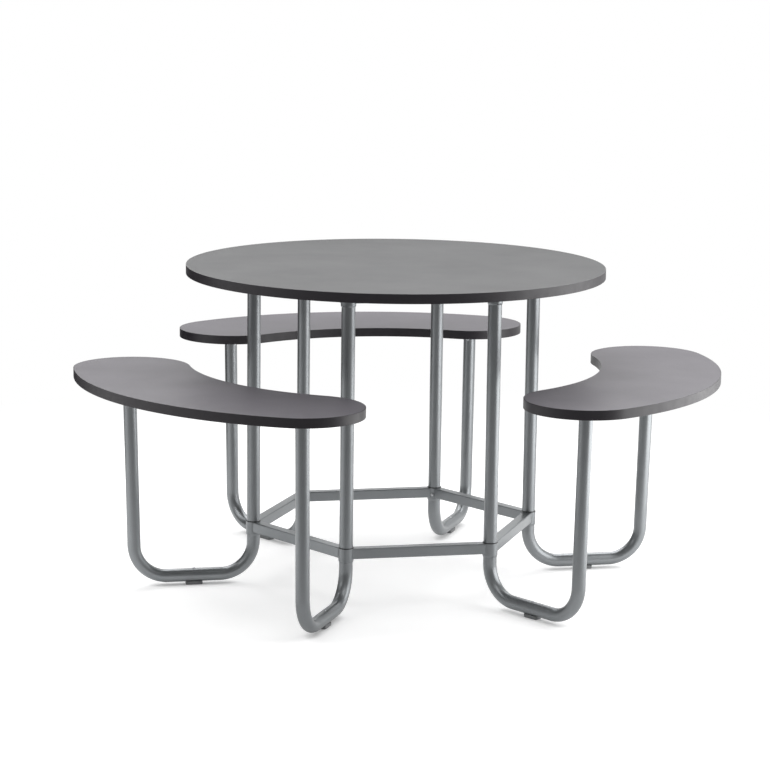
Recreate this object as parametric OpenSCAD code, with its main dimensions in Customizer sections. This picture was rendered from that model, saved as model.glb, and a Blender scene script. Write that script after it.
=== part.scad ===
/* [Table top] */
// Diameter of the round table top over its edge band
table_d = 1200; // [1000:10:1400]
// Height of the table's upper surface above the floor
table_h = 920; // [800:5:1100]

/* [Benches] */
// Height of the seats' upper surface above the floor
seat_h = 640; // [480:5:700]
// Radius of a bench's hollow inner edge, which runs round the table's axis
bench_inner_r = 594; // [570:1:615]
// Width of a bench from inner to outer edge at its middle
bench_depth = 342; // [310:1:370]
// Radius of the round ends of a bench
bench_end_r = 164; // [140:1:180]
// Distance between the centres of a bench's two round ends
bench_end_gap = 756; // [680:2:800]

/* [Panels] */
// Thickness of the chipboard core of table and benches
core_t = 25; // [20:1:32]
// Thickness of the laminate on the upper face
laminate_t = 0.8; // [0.6:0.1:1.2]
// Thickness of the backing sheet on the lower face
backing_t = 0.8; // [0.6:0.1:1.2]
// Thickness of the edge band round each panel
edge_t = 2; // [1:0.5:3]

/* [Legs] */
// Outer diameter of every leg tube
tube_d = 38; // [34:1:42]
// Wall of every leg tube
tube_wall = 2; // [1.5:0.25:2.5]
// Distance from the table's axis to each table leg
leg_ring_r = 410; // [380:5:440]
// Distance between the two uprights of a U leg
u_span = 345; // [300:5:400]
// Bend radius of a U leg at the middle of its tube
bend_r = 95; // [80:1:110]
// Outward lean of a U leg's outer upright, in degrees
lean = 1.2; // [0.6:0.1:2]
// Length of every spigot, which plugs into the end of a tube
spigot_len = 40; // [30:1:60]
// Wall of every spigot
spigot_wall = 2; // [1.5:0.25:2.5]

/* [Sleeves and rails] */
// Height of the ring's upper side above the floor
ring_h = 180; // [165:1:240]
// Height of every sleeve
sleeve_h = 40; // [36:1:50]
// Wall of every sleeve
sleeve_wall = 1.8; // [1.6:0.1:2.4]
// Height of the taper at the open end of a sleeve
sleeve_taper = 4; // [2:0.5:6]
// Length of U leg that stands inside a ring sleeve
joint_up = 10; // [6:1:12]
// Width and height of the square rails
rail = 30; // [24:1:34]
// Wall of the rails
rail_wall = 2; // [1.5:0.25:2.5]
// Corner radius of the rails
rail_corner = 3; // [3:0.5:4]
// Thickness of the plastic joint rings on the ring's sleeves
joint_ring_t = 2; // [1.5:0.25:3]

/* [Bench fixings] */
// Diameter of the plates under the benches
plate_d = 92; // [88:1:100]
// Thickness of those plates
plate_t = 4; // [3:0.5:5]
// Diameter of the circle that a plate's holes lie on
plate_pcd = 70; // [67:1:74]

/* [Glides] */
// Length of a plastic glide along its tube
glide_l = 48; // [36:1:60]
// Width of a glide
glide_w = 24; // [20:1:28]
// Thickness of a glide under its tube
glide_t = 8; // [7:0.5:14]
// Height that a glide's sides reach up round its tube
glide_lip = 2; // [1:0.25:2.5]

/* [Screws] */
// Thread diameter of the screws that hold panels to metal
panel_screw_d = 5; // [4:0.5:5.5]
// Length of the panel screws under the head
panel_screw_l = 18; // [15:1:20]
// Distance of a rail's panel screws from the middle of the rail
rail_screw_x = 90; // [60:5:120]
// Diameter of the access hole in a rail's lower wall
access_d = 12; // [11:0.5:14]
// Thread diameter of the screws in sleeves and glides
machine_screw_d = 5; // [4:0.5:5.5]
// Length of a sleeve screw under the head
sleeve_screw_l = 9; // [7:0.5:12]
// Depth that a glide screw bites into its glide
glide_bite = 6; // [4:0.5:6]
// Diameter of every screw head
head_d = 9; // [8.5:0.25:10]
// Height of every screw head
head_h = 3; // [2.5:0.25:3.5]
// Width across the flats of the hexagonal recess in a head
recess_w = 3; // [2.5:0.25:4]
// Depth of that recess
recess_h = 1.6; // [1:0.1:2]
// Depth that a glide screw's head is let into the tube
head_seat = 1; // [0.5:0.1:1.2]

/* [Clearances] */
// Gap between a tube and the sleeve or spigot round it
slide_gap = 0.25; // [0.15:0.05:0.4]
// Gap between a rail's hollowed end and its sleeve
weld_gap = 0.2; // [0.1:0.05:0.3]
// Gap between a tube's end and the plate or board above it
end_gap = 0.8; // [0.5:0.1:0.9]
// Gap round a screw in its hole
screw_gap = 0.2; // [0.1:0.05:0.3]
// Gap between a seated screw head or glide and a round tube
seat_gap = 0.1; // [0.05:0.05:0.3]

/* [Hidden] */
legs = 6;
benches = 3;

// Smoothness of panel outlines and of tubes
panel_fn = 240;
tube_fn = 64;
small_fn = 32;

// Angles of the legs, and of the benches between pairs of legs
leg_step = 360 / legs;
bench_step = 360 / benches;
first_bench = 90;
function leg_angle(i) = (i - 1) * leg_step;
function bench_angle(k) = first_bench + (k - 1) * bench_step;

// Panel levels
panel_t = backing_t + core_t + laminate_t;
table_under = table_h - panel_t;
seat_under = seat_h - panel_t;

// Tube, spigot and sleeve sections
tube_r = tube_d / 2;
tube_ir = tube_r - tube_wall;
spigot_r = tube_ir - slide_gap;
spigot_ir = spigot_r - spigot_wall;
sleeve_ir = tube_r + slide_gap;
sleeve_r = sleeve_ir + sleeve_wall;
taper_wall = 0.5;

// Levels of the U legs and of the joint with the table legs
run_z = glide_t + tube_r;
bend_z = run_z + bend_r;
joint_z = ring_h - sleeve_h + joint_up;
plate_z = seat_under - plate_t;

// The outer upright starts where the second bend ends and leans outwards
foot_x = leg_ring_r + u_span;
// Turn by which the second bend reaches into the run, so that the two join
bend_lap = 0.05;
// Thinning of the second bend's wall on both sides, so that its skin stays inside the run's
bend_thinning = 0.02;
upright_x = foot_x - bend_r + bend_r * cos(lean);
upright_z = bend_z - bend_r * sin(lean);
socket_x = upright_x + (plate_z - upright_z) * tan(lean);
upright_l = (plate_z - upright_z) / cos(lean) - end_gap - tube_r * tan(lean);

// Bench outline: an inner arc round the table's axis, an outer arc and two round ends, all tangent
end_v = bench_end_gap / 2;
end_reach = bench_inner_r + bench_end_r;
end_u = sqrt(pow(end_reach, 2) - pow(end_v, 2));
apex_reach = bench_inner_r + bench_depth - bench_end_r;
outer_u = (pow(apex_reach, 2) - pow(end_reach, 2)) / (2 * (apex_reach - end_u));
outer_r = bench_inner_r + bench_depth - outer_u;
outer_turn = atan2(end_v, end_u - outer_u);
inner_turn = atan2(end_v, end_u);
// Turn by which each round end reaches into the body, so that the two join
lap = 0.5;

// Rails run from leg to leg along the hexagon's sides
rail_l = 2 * leg_ring_r * sin(leg_step / 2);
rail_x = leg_ring_r * cos(leg_step / 2);

// Screw places
sleeve_screw_drop = sleeve_h / 2;
plate_holes = 4;
machine_hole = machine_screw_d + 2 * screw_gap;
panel_hole = panel_screw_d + 2 * screw_gap;
glide_bore = glide_bite + screw_gap;
glide_screw_l = tube_d - head_seat + seat_gap + glide_bite;

// Depth of a blind bore from a panel's underside, for a screw that first passes metal of thickness t
function bore_depth(t) = panel_screw_l - t + screw_gap;

function along(centre, turn, r) = [centre[0] + r * cos(turn), centre[1] + r * sin(turn)];

module around_legs() {
  for (i = [1 : legs]) rotate([0, 0, leg_angle(i)]) children();
}

module ring(r, ir, h, fn = tube_fn) {
  difference() {
    cylinder(h = h, r = r, $fn = fn);
    translate([0, 0, -1]) cylinder(h = h + 2, r = ir, $fn = fn);
  }
}

// A slice of a disc between two turns
module pie(centre, r, from, to) {
  steps = 4;
  intersection() {
    translate(centre) circle(r, $fn = panel_fn);
    polygon([centre, for (i = [0 : steps]) along(centre, from + (to - from) * i / steps, 2 * r)]);
  }
}

// Bench outline in the bench's own frame, drawn in by d on every side
module bench_outline(d = 0) {
  end = [end_u, end_v];
  far = 3 * outer_r;
  difference() {
    intersection() {
      translate([outer_u, 0]) circle(outer_r - d, $fn = panel_fn);
      polygon([
        [0, 0], end, along([outer_u, 0], outer_turn, far),
        along([outer_u, 0], -outer_turn, far), [end_u, -end_v]
      ]);
    }
    circle(bench_inner_r + d, $fn = panel_fn);
  }
  pie(end, bench_end_r - d, outer_turn - lap, inner_turn + 180 + lap);
  mirror([0, 1]) pie(end, bench_end_r - d, outer_turn - lap, inner_turn + 180 + lap);
}

// Places of the panel screws: two in each rail under the table, four in each plate under a bench
module at_table_screws() {
  around_legs() rotate([0, 0, leg_step / 2]) {
    for (side = [-1, 1]) translate([rail_x, side * rail_screw_x, 0]) children();
  }
}

module at_plate_screws() {
  for (j = [0 : plate_holes - 1]) rotate([0, 0, (j + 0.5) * 360 / plate_holes]) {
    translate([plate_pcd / 2, 0, 0]) children();
  }
}

module at_bench_screws(k) {
  rotate([0, 0, bench_angle(k)]) for (side = [-1, 1]) rotate([0, 0, side * leg_step / 2]) {
    translate([socket_x, 0, 0]) at_plate_screws() children();
  }
}

module screw(d, l) {
  difference() {
    union() {
      translate([0, 0, -head_h]) cylinder(h = head_h, d = head_d, $fn = small_fn);
      cylinder(h = l, d = d, $fn = small_fn);
    }
    translate([0, 0, -head_h - 1]) cylinder(h = recess_h + 1, d = recess_w / cos(30), $fn = 6);
  }
}

// Table panel
module table_core() {
  color("tan") difference() {
    translate([0, 0, table_under + backing_t]) {
      cylinder(h = core_t, d = table_d - 2 * edge_t, $fn = panel_fn);
    }
    at_table_screws() translate([0, 0, table_under]) {
      cylinder(h = bore_depth(rail_wall), d = panel_hole, $fn = small_fn);
    }
  }
}

module table_laminate() {
  color("#8a898c") translate([0, 0, table_h - laminate_t]) {
    cylinder(h = laminate_t, d = table_d - 2 * edge_t, $fn = panel_fn);
  }
}

module table_backing() {
  color("#59575b") difference() {
    translate([0, 0, table_under]) cylinder(h = backing_t, d = table_d - 2 * edge_t, $fn = panel_fn);
    at_table_screws() translate([0, 0, table_under - 1]) {
      cylinder(h = backing_t + 2, d = panel_hole, $fn = small_fn);
    }
  }
}

module table_edge_band() {
  color("#3a373d") translate([0, 0, table_under]) {
    ring(table_d / 2, table_d / 2 - edge_t, panel_t, panel_fn);
  }
}

// Bench panels
module bench_core(k) {
  color("tan") difference() {
    rotate([0, 0, bench_angle(k)]) translate([0, 0, seat_under + backing_t]) {
      linear_extrude(core_t) bench_outline(edge_t);
    }
    at_bench_screws(k) translate([0, 0, seat_under]) {
      cylinder(h = bore_depth(plate_t), d = panel_hole, $fn = small_fn);
    }
  }
}

module bench_laminate(k) {
  color("#8d8a90") rotate([0, 0, bench_angle(k)]) translate([0, 0, seat_h - laminate_t]) {
    linear_extrude(laminate_t) bench_outline(edge_t);
  }
}

module bench_backing(k) {
  color("#59575b") difference() {
    rotate([0, 0, bench_angle(k)]) translate([0, 0, seat_under]) {
      linear_extrude(backing_t) bench_outline(edge_t);
    }
    at_bench_screws(k) translate([0, 0, seat_under - 1]) {
      cylinder(h = backing_t + 2, d = panel_hole, $fn = small_fn);
    }
  }
}

module bench_edge_band(k) {
  color("#3a373d") rotate([0, 0, bench_angle(k)]) translate([0, 0, seat_under]) {
    linear_extrude(panel_t) difference() {
      bench_outline();
      bench_outline(edge_t);
    }
  }
}

// Hole or screw that enters a round part of radius r from the side of the table's axis, at height z
module from_axis(z, r = sleeve_r) {
  translate([-r - seat_gap, 0, z]) rotate([0, 90, 0]) children();
}

module side_hole(z, r = sleeve_r) {
  from_axis(z, r) translate([0, 0, -head_h]) {
    cylinder(h = head_h + sleeve_screw_l + 1, d = machine_hole, $fn = small_fn);
  }
}

// Table leg: a straight tube from the ring's joint to the underside of the table
module table_leg(i) {
  color("#8f9396") rotate([0, 0, leg_angle(i)]) translate([leg_ring_r, 0, 0]) difference() {
    translate([0, 0, joint_z]) ring(tube_r, tube_ir, table_under - end_gap - joint_z);
    side_hole(ring_h - sleeve_screw_drop);
    side_hole(table_under - sleeve_screw_drop);
  }
}

// Section of a tube's wall, turned about the middle of a bend
module tube_bend(sweep, thinning = 0) {
  rotate([-90, 0, 0]) rotate_extrude(angle = sweep, $fn = 2 * panel_fn) translate([bend_r, 0]) {
    difference() {
      circle(tube_r - thinning, $fn = tube_fn);
      circle(tube_ir + thinning, $fn = tube_fn);
    }
  }
}

// U leg: spigot, inner upright, bend, run along the floor, bend and leaning outer upright
module u_leg(i) {
  color("#8f9396") rotate([0, 0, leg_angle(i)]) difference() {
    union() {
      translate([leg_ring_r, 0, 0]) rotate_extrude($fn = tube_fn) polygon([
        [tube_ir, bend_z], [tube_r, bend_z], [tube_r, joint_z], [spigot_r, joint_z],
        [spigot_r, joint_z + spigot_len], [spigot_ir, joint_z + spigot_len],
        [spigot_ir, joint_z - tube_wall], [tube_ir, joint_z - tube_wall]
      ]);
      translate([leg_ring_r + bend_r, 0, bend_z]) rotate([0, 90, 0]) tube_bend(90);
      translate([leg_ring_r + bend_r, 0, run_z]) rotate([0, 90, 0]) {
        ring(tube_r, tube_ir, u_span - 2 * bend_r);
      }
      translate([foot_x - bend_r, 0, bend_z]) rotate([0, lean, 0]) {
        tube_bend(90 - lean + bend_lap, bend_thinning);
        translate([bend_r, 0, 0]) ring(tube_r, tube_ir, upright_l);
      }
    }
    translate([leg_ring_r, 0, 0]) side_hole(ring_h - sleeve_screw_drop);
    translate([leg_ring_r + u_span / 2, 0, 0]) {
      cylinder(h = run_z + tube_d, d = machine_hole, $fn = small_fn);
      translate([0, 0, run_z + tube_r - head_seat]) {
        cylinder(h = tube_d, d = head_d + 2 * screw_gap, $fn = small_fn);
      }
    }
    in_socket() side_hole(-sleeve_screw_drop, tube_r);
  }
}

// Frame of the leaning outer upright on the X axis, with its origin where it meets the plate
module in_socket() {
  translate([socket_x, 0, plate_z]) rotate([0, lean, 0]) children();
}

// Sleeve with its taper at the lower end and its upper end at z = 0
module sleeve() {
  difference() {
    rotate_extrude($fn = tube_fn) polygon([
      [sleeve_ir, -sleeve_h], [sleeve_ir + taper_wall, -sleeve_h],
      [sleeve_r, -sleeve_h + sleeve_taper], [sleeve_r, 0], [sleeve_ir, 0]
    ]);
    side_hole(-sleeve_screw_drop);
  }
}

module ring_sleeve(i) {
  color("#8a8e91") rotate([0, 0, leg_angle(i)]) translate([leg_ring_r, 0, ring_h]) sleeve();
}

module top_sleeve(i) {
  color("#8a8e91") rotate([0, 0, leg_angle(i)]) translate([leg_ring_r, 0, table_under]) sleeve();
}

// Bench socket: a screwed plate with a leaning spigot welded under it, which plugs into the upright
module bench_socket(i) {
  color("#8a8e91") rotate([0, 0, leg_angle(i)]) {
    translate([socket_x, 0, plate_z]) difference() {
      cylinder(h = plate_t, d = plate_d, $fn = tube_fn);
      at_plate_screws() translate([0, 0, -1]) {
        cylinder(h = plate_t + 2, d = panel_hole, $fn = small_fn);
      }
    }
    in_socket() difference() {
      translate([0, 0, -spigot_len]) ring(spigot_r, spigot_ir, spigot_len + plate_t / 2);
      side_hole(-sleeve_screw_drop, tube_r);
    }
  }
}

// Square rail with hollowed ends, its upper side at z = 0
module rail_section(w, r) {
  square([w - 2 * r, w], center = true);
  square([w, w - 2 * r], center = true);
  for (x = [-1, 1]) for (y = [-1, 1]) translate([x * (w / 2 - r), y * (w / 2 - r)]) {
    circle(r, $fn = small_fn);
  }
}

module rail_bar(i) {
  difference() {
    rotate([0, 0, leg_angle(i) + leg_step / 2]) translate([rail_x, 0, -rail / 2]) {
      rotate([90, 0, 0]) linear_extrude(rail_l, center = true) difference() {
        rail_section(rail, rail_corner);
        rail_section(rail - 2 * rail_wall, rail_corner - rail_wall);
      }
    }
    for (j = [i, i + 1]) rotate([0, 0, leg_angle(j)]) translate([leg_ring_r, 0, -rail - 1]) {
      cylinder(h = rail + 2, r = sleeve_r + weld_gap, $fn = tube_fn);
    }
  }
}

module ring_rail(i) {
  color("#878b8e") translate([0, 0, ring_h]) rail_bar(i);
}

module top_rails() {
  color("#878b8e") difference() {
    translate([0, 0, table_under]) for (i = [1 : legs]) rail_bar(i);
    at_table_screws() translate([0, 0, table_under - rail_wall - 1]) {
      cylinder(h = rail_wall + 2, d = panel_hole, $fn = small_fn);
    }
    at_table_screws() translate([0, 0, table_under - rail - 1]) {
      cylinder(h = rail_wall + 2, d = access_d, $fn = small_fn);
    }
  }
}

// Plastic rings between the ring's sleeves and the table legs
module joint_rings() {
  color("#1d1d1f") around_legs() translate([leg_ring_r, 0, ring_h]) {
    ring(sleeve_r, sleeve_ir, joint_ring_t);
  }
}

// Plastic glides, each hollowed to its tube and bored for its screw
module glides() {
  color("#4a4a4e") around_legs() translate([leg_ring_r + u_span / 2, 0, 0]) difference() {
    translate([-glide_l / 2, -glide_w / 2, 0]) cube([glide_l, glide_w, glide_t + glide_lip]);
    translate([-glide_l, 0, run_z]) rotate([0, 90, 0]) {
      cylinder(h = 2 * glide_l, r = tube_r + seat_gap, $fn = tube_fn);
    }
    translate([0, 0, glide_t - glide_bore]) {
      cylinder(h = glide_bore + tube_r, d = machine_hole, $fn = small_fn);
    }
  }
}

module sleeve_screws() {
  color("silver") around_legs() {
    translate([leg_ring_r, 0, 0]) {
      from_axis(ring_h - sleeve_screw_drop) screw(machine_screw_d, sleeve_screw_l);
      from_axis(table_under - sleeve_screw_drop) screw(machine_screw_d, sleeve_screw_l);
    }
    in_socket() from_axis(-sleeve_screw_drop, tube_r) screw(machine_screw_d, sleeve_screw_l);
  }
}

module glide_screws() {
  color("silver") around_legs() {
    translate([leg_ring_r + u_span / 2, 0, run_z + tube_r - head_seat + seat_gap]) {
      mirror([0, 0, 1]) screw(machine_screw_d, glide_screw_l);
    }
  }
}

module panel_screws() {
  color("silver") {
    at_table_screws() translate([0, 0, table_under - rail_wall]) screw(panel_screw_d, panel_screw_l);
    for (k = [1 : benches]) at_bench_screws(k) translate([0, 0, plate_z]) {
      screw(panel_screw_d, panel_screw_l);
    }
  }
}

table_core();
table_laminate();
table_backing();
table_edge_band();
for (k = [1 : benches]) {
  bench_core(k);
  bench_laminate(k);
  bench_backing(k);
  bench_edge_band(k);
}
for (i = [1 : legs]) {
  table_leg(i);
  u_leg(i);
  ring_sleeve(i);
  ring_rail(i);
  top_sleeve(i);
  bench_socket(i);
}
top_rails();
joint_rings();
glides();
sleeve_screws();
glide_screws();
panel_screws();
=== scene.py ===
"""Round table with three bean-shaped benches on silver grey tubes, dressed over its packed model."""

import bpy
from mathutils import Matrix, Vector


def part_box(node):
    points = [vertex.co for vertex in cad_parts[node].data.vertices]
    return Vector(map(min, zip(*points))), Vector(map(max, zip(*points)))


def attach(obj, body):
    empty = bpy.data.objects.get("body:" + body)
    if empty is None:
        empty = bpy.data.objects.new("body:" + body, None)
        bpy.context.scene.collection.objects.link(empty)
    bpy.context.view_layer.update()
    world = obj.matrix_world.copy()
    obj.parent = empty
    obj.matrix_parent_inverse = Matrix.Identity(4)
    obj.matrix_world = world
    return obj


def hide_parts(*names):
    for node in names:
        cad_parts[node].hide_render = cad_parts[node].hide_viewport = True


bl_info = {
    "name": "Poseur Table with Three Benches",
    "version": (1, 0, 0),
    "blender": (4, 5, 0),
    "location": "3D View > Sidebar > Poseur Table",
    "description": "Dresses the packed model of a round table with three benches and sets it in a studio",
    "category": "Object",
}

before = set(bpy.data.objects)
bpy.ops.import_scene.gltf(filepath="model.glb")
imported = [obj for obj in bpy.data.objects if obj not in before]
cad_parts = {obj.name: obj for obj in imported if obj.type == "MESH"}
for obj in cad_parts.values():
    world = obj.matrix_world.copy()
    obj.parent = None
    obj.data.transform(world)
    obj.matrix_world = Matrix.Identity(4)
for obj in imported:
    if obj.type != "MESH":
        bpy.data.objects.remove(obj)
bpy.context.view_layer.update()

import math

import bpy
import numpy as np
from bpy.props import FloatProperty, FloatVectorProperty, PointerProperty
from mathutils import Matrix, Vector

X, Z = 0, 2


def span(node, axis):
    """Lowest and highest coordinate of a CAD node along one axis, in metres."""
    low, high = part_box(node)
    return low[axis], high[axis]


def middle_and_half(node, axis):
    """Middle and half width of a CAD node along one axis, in metres."""
    low, high = span(node, axis)
    return (low + high) / 2, (high - low) / 2


# Sizes that the frame gives
TABLE_UNDER, TABLE_TOP = span("table_edge_band", Z)
SEAT_UNDER, SEAT_TOP = span("bench_1_edge_band", Z)
TABLE_RADIUS = span("table_edge_band", X)[1]
BAND = TABLE_RADIUS - span("table_laminate", X)[1]
LAMINATE = TABLE_TOP - span("table_laminate", Z)[0]
BACKING = span("table_backing", Z)[1] - TABLE_UNDER
LEG_DISTANCE, TUBE_RADIUS = middle_and_half("table_leg_1", X)
JOINT_HEIGHT, LEG_TOP = span("table_leg_1", Z)
RUN_UNDER = span("u_leg_1", Z)[0]
SLEEVE_RADIUS = middle_and_half("ring_sleeve_1", X)[1]
SLEEVE_FOOT, RING_TOP = span("ring_sleeve_1", Z)
JOINT_RING_TOP = span("joint_rings", Z)[1]
RAIL = RING_TOP - span("ring_rail_2", Z)[0]
SOCKET_DISTANCE, PLATE_RADIUS = middle_and_half("bench_socket_1", X)
GLIDE_TOP = span("glides", Z)[1]

# Turns about the table's axis, in degrees
LEG_TURNS = np.arange(6) * 60.0
RAIL_TURNS = LEG_TURNS + 30.0
BENCH_TURNS = (90.0, 210.0, 330.0)
PLATE_SCREW_TURNS = (45.0, 135.0, 225.0, 315.0)

# Distance of the upper weld beads from the board above them
WELD_CLEARANCE = 0.0003


# Settings


def length(name, description, default):
    """A size in metres."""
    return FloatProperty(name=name, description=description, default=default, min=0.0, precision=4, unit="LENGTH")


def angle(name, description, default):
    """An angle, given here in degrees."""
    return FloatProperty(
        name=name, description=description, default=math.radians(default), precision=4, subtype="ANGLE"
    )


def share(name, description, default):
    """A number from 0 to 1."""
    return FloatProperty(name=name, description=description, default=default, min=0.0, max=1.0, subtype="FACTOR")


def level(name, description, default):
    """A strength from 0 up."""
    return FloatProperty(name=name, description=description, default=default, min=0.0)


def colour(name, description, default):
    """A linear colour."""
    return FloatVectorProperty(
        name=name, description=description, default=default, size=3, min=0.0, max=1.0, subtype="COLOR"
    )


class PanelSizes(bpy.types.PropertyGroup):
    """Sizes of the table top and of the three benches."""

    table_radius: length("Table radius", "Radius of the table top over its edge band", TABLE_RADIUS)
    table_top: length("Table height", "Height of the table's upper face", TABLE_TOP)
    table_under: length("Table underside", "Height of the table top's lower face", TABLE_UNDER)
    seat_top: length("Seat height", "Height of the benches' upper faces", SEAT_TOP)
    seat_under: length("Seat underside", "Height of the benches' lower faces", SEAT_UNDER)
    bench_inner_radius: length("Bench inner radius", "Radius of a bench's hollow edge round the table's axis", 0.594)
    bench_depth: length("Bench depth", "Width of a bench at its middle", 0.342)
    bench_end_radius: length("Bench end radius", "Radius of a bench's round ends", 0.164)
    bench_end_gap: length("Bench end gap", "Distance between the centres of the round ends", 0.756)
    band: length("Edge band", "Thickness of the edge band", BAND)
    laminate: length("Laminate", "Thickness of the laminate on the upper faces", LAMINATE)
    backing: length("Backing", "Thickness of the sheet on the lower faces", BACKING)
    arris: length("Arris", "Rounding of the band's outer edges", 0.0012)
    hairline: length("Hairline", "Gap between the laminate and the band", 0.0001)


class LegSizes(bpy.types.PropertyGroup):
    """Sizes of the table legs and of the U legs."""

    tube_radius: length("Tube radius", "Outer radius of the leg tubes", TUBE_RADIUS)
    tube_wall: length("Tube wall", "Wall of the leg tubes", 0.002)
    distance: length("Leg distance", "Distance from the table's axis to a table leg", LEG_DISTANCE)
    joint: length("Joint height", "Height at which a table leg meets its U leg", JOINT_HEIGHT)
    top: length("Leg top", "Height of a table leg's upper end", LEG_TOP)
    u_span: length("U leg span", "Distance between a U leg's two uprights", 0.345)
    run_under: length("Run underside", "Height of the run's lower side above the floor", RUN_UNDER)
    bend_radius: length("Bend radius", "Bend radius at the middle of the tube", 0.095)
    lean: angle("Lean", "Outward lean of a U leg's outer upright", 1.2)
    flattening: share("Flattening", "Share by which a bend is flatter than the straight tube", 0.03)
    spigot: length("Spigot", "Length of a spigot that plugs into a tube", 0.04)
    slide_gap: length("Slide gap", "Gap between the tube and the parts that it slides in", 0.00025)
    end_gap: length("End gap", "Gap above a U leg's outer end", 0.0008)


class FrameSizes(bpy.types.PropertyGroup):
    """Sizes of sleeves, rails, sockets, joint rings and welds."""

    sleeve_radius: length("Sleeve radius", "Outer radius of the sleeves", SLEEVE_RADIUS)
    sleeve_height: length("Sleeve height", "Height of the sleeves", RING_TOP - SLEEVE_FOOT)
    taper: length("Sleeve taper", "Height of the taper at a sleeve's open end", 0.004)
    taper_wall: length("Taper wall", "Wall left at the end of the taper", 0.0005)
    ring_top: length("Ring height", "Height of the lower ring's upper side", RING_TOP)
    rail: length("Rail", "Width and height of the square rails", RAIL)
    rail_wall: length("Rail wall", "Wall of the rails", 0.002)
    rail_corner: length("Rail corner", "Corner radius of the rails", 0.003)
    weld_gap: length("Weld gap", "Gap between a rail's hollowed end and its sleeve", 0.0002)
    bead: length("Weld bead", "Radius of the weld beads", 0.0018)
    bead_step: length("Weld ripple", "Distance between two ripples of a weld bead", 0.0035)
    joint_ring_top: length("Joint ring top", "Height of the joint rings' upper side", JOINT_RING_TOP)
    socket_distance: length("Socket distance", "Distance from the table's axis to a bench socket", SOCKET_DISTANCE)
    plate_radius: length("Plate radius", "Radius of the plates under the benches", PLATE_RADIUS)
    plate: length("Plate thickness", "Thickness of the plates under the benches", 0.004)


class FixingSizes(bpy.types.PropertyGroup):
    """Sizes of glides and screws."""

    glide_length: length("Glide length", "Length of a glide along its tube", 0.048)
    glide_width: length("Glide width", "Width of a glide", 0.024)
    glide_top: length("Glide top", "Height of a glide's upper edges", GLIDE_TOP)
    glide_corner: length("Glide corner", "Corner radius of a glide seen from above", 0.005)
    seat_gap: length("Seat gap", "Gap between a glide or a screw head and its tube", 0.0001)
    head_radius: length("Head radius", "Radius of the screw heads", 0.0045)
    head_height: length("Head height", "Height of the screw heads", 0.003)
    head_seat: length("Head seat", "Depth that a glide screw's head is let into the tube", 0.001)
    thread_radius: length("Thread radius", "Radius of the screws' threads", 0.0025)
    recess_width: length("Recess width", "Width across the flats of a head's recess", 0.003)
    recess_depth: length("Recess depth", "Depth of a head's recess", 0.0016)
    sleeve_screw: length("Sleeve screw", "Length of a sleeve screw under its head", 0.009)
    panel_screw: length("Panel screw", "Length of a panel screw under its head", 0.018)
    glide_bite: length("Glide bite", "Depth that a glide screw reaches into its glide", 0.006)
    rail_screw: length("Rail screw place", "Distance of a rail's panel screws from its middle", 0.09)
    plate_circle: length("Plate circle", "Radius of the circle of screws in a plate", 0.035)


class Finishes(bpy.types.PropertyGroup):
    """Colours and gloss of the finishes."""

    table_laminate: colour("Table laminate", "Colour of the table's upper face", (0.056, 0.057, 0.059))
    bench_laminate: colour("Bench laminate", "Colour of the benches' upper faces", (0.106, 0.100, 0.112))
    table_roughness: share("Table roughness", "Roughness of the table's upper face", 0.55)
    bench_roughness: share("Bench roughness", "Roughness of the benches' upper faces", 0.48)
    edge_band: colour("Edge band", "Colour of the edge bands", (0.012, 0.0095, 0.0135))
    backing: colour("Backing", "Colour of the backing sheets", (0.10, 0.098, 0.10))
    chipboard: colour("Chipboard", "Colour of the cores' chips", (0.42, 0.30, 0.18))
    tube_paint: colour("Tube paint", "Colour of the legs", (0.245, 0.257, 0.266))
    frame_paint: colour("Frame paint", "Colour of sleeves, rails and sockets", (0.240, 0.252, 0.261))
    paint_metallic: share("Paint metallic", "Share of metal in the silver grey paint", 0.86)
    paint_roughness: share("Paint roughness", "Roughness of the silver grey paint", 0.36)
    joint_rings: colour("Joint rings", "Colour of the joint rings", (0.012, 0.012, 0.013))
    glides: colour("Glides", "Colour of the glides", (0.22, 0.225, 0.23))
    screws: colour("Screws", "Colour of the screws", (0.55, 0.56, 0.58))
    floor: colour("Floor", "Colour of the floor", (0.80, 0.80, 0.80))


class StudioSettings(bpy.types.PropertyGroup):
    """Camera, lamps and surroundings."""

    camera_distance: length("Camera distance", "Distance of the camera from the table's axis", 6.9859)
    camera_height: length("Camera height", "Height of the camera", 1.8437)
    heading: angle("Heading", "Turn of the camera round the table's axis", 11.9366)
    yaw: angle("Yaw", "Turn of the camera away from the axis", -0.2207)
    pitch: angle("Pitch", "Tilt of the camera", -10.3517)
    roll: angle("Roll", "Turn of the camera round its own axis", 0.7372)
    lens: FloatProperty(name="Lens", description="Focal length in millimetres", default=114.884, min=1.0)
    key: level("Key lamp", "Brightness of the lamp on the right, where 1 is white", 2.7)
    fill: level("Fill lamp", "Brightness of the lamp high on the left", 1.8)
    top: level("Top lamp", "Brightness of the lamp above", 1.55)
    back: level("Back lamp", "Brightness of the lamp behind", 2.6)
    surroundings: share("Surroundings", "Share of the room's brightness that matt surfaces get", 0.50)
    room_dim: share("Room", "Brightness of the room behind the camera, as mirrors see it", 0.27)
    room_right: share("Room on the right", "Light that mirrors see besides on the right", 0.35)
    room_left: share("Room on the left", "Light that mirrors see besides on the left", 0.30)
    floor_glow: share("Floor glow", "Light that the floor adds for the camera", 0.49)
    # Painted shade: in mirrors the floor near the camera is drawn darker, down to this share of its brightness
    painted_floor_shade: share("Floor in front", "Share of its brightness that the floor near the camera has in mirrors", 0.36)


# Surfaces


def smooth_step(low, high, value):
    """0 below low, 1 above high, and 3t^2 - 2t^3 between."""
    t = np.clip((value - low) / (high - low), 0.0, 1.0)
    return t * t * (3.0 - 2.0 * t)


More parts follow.
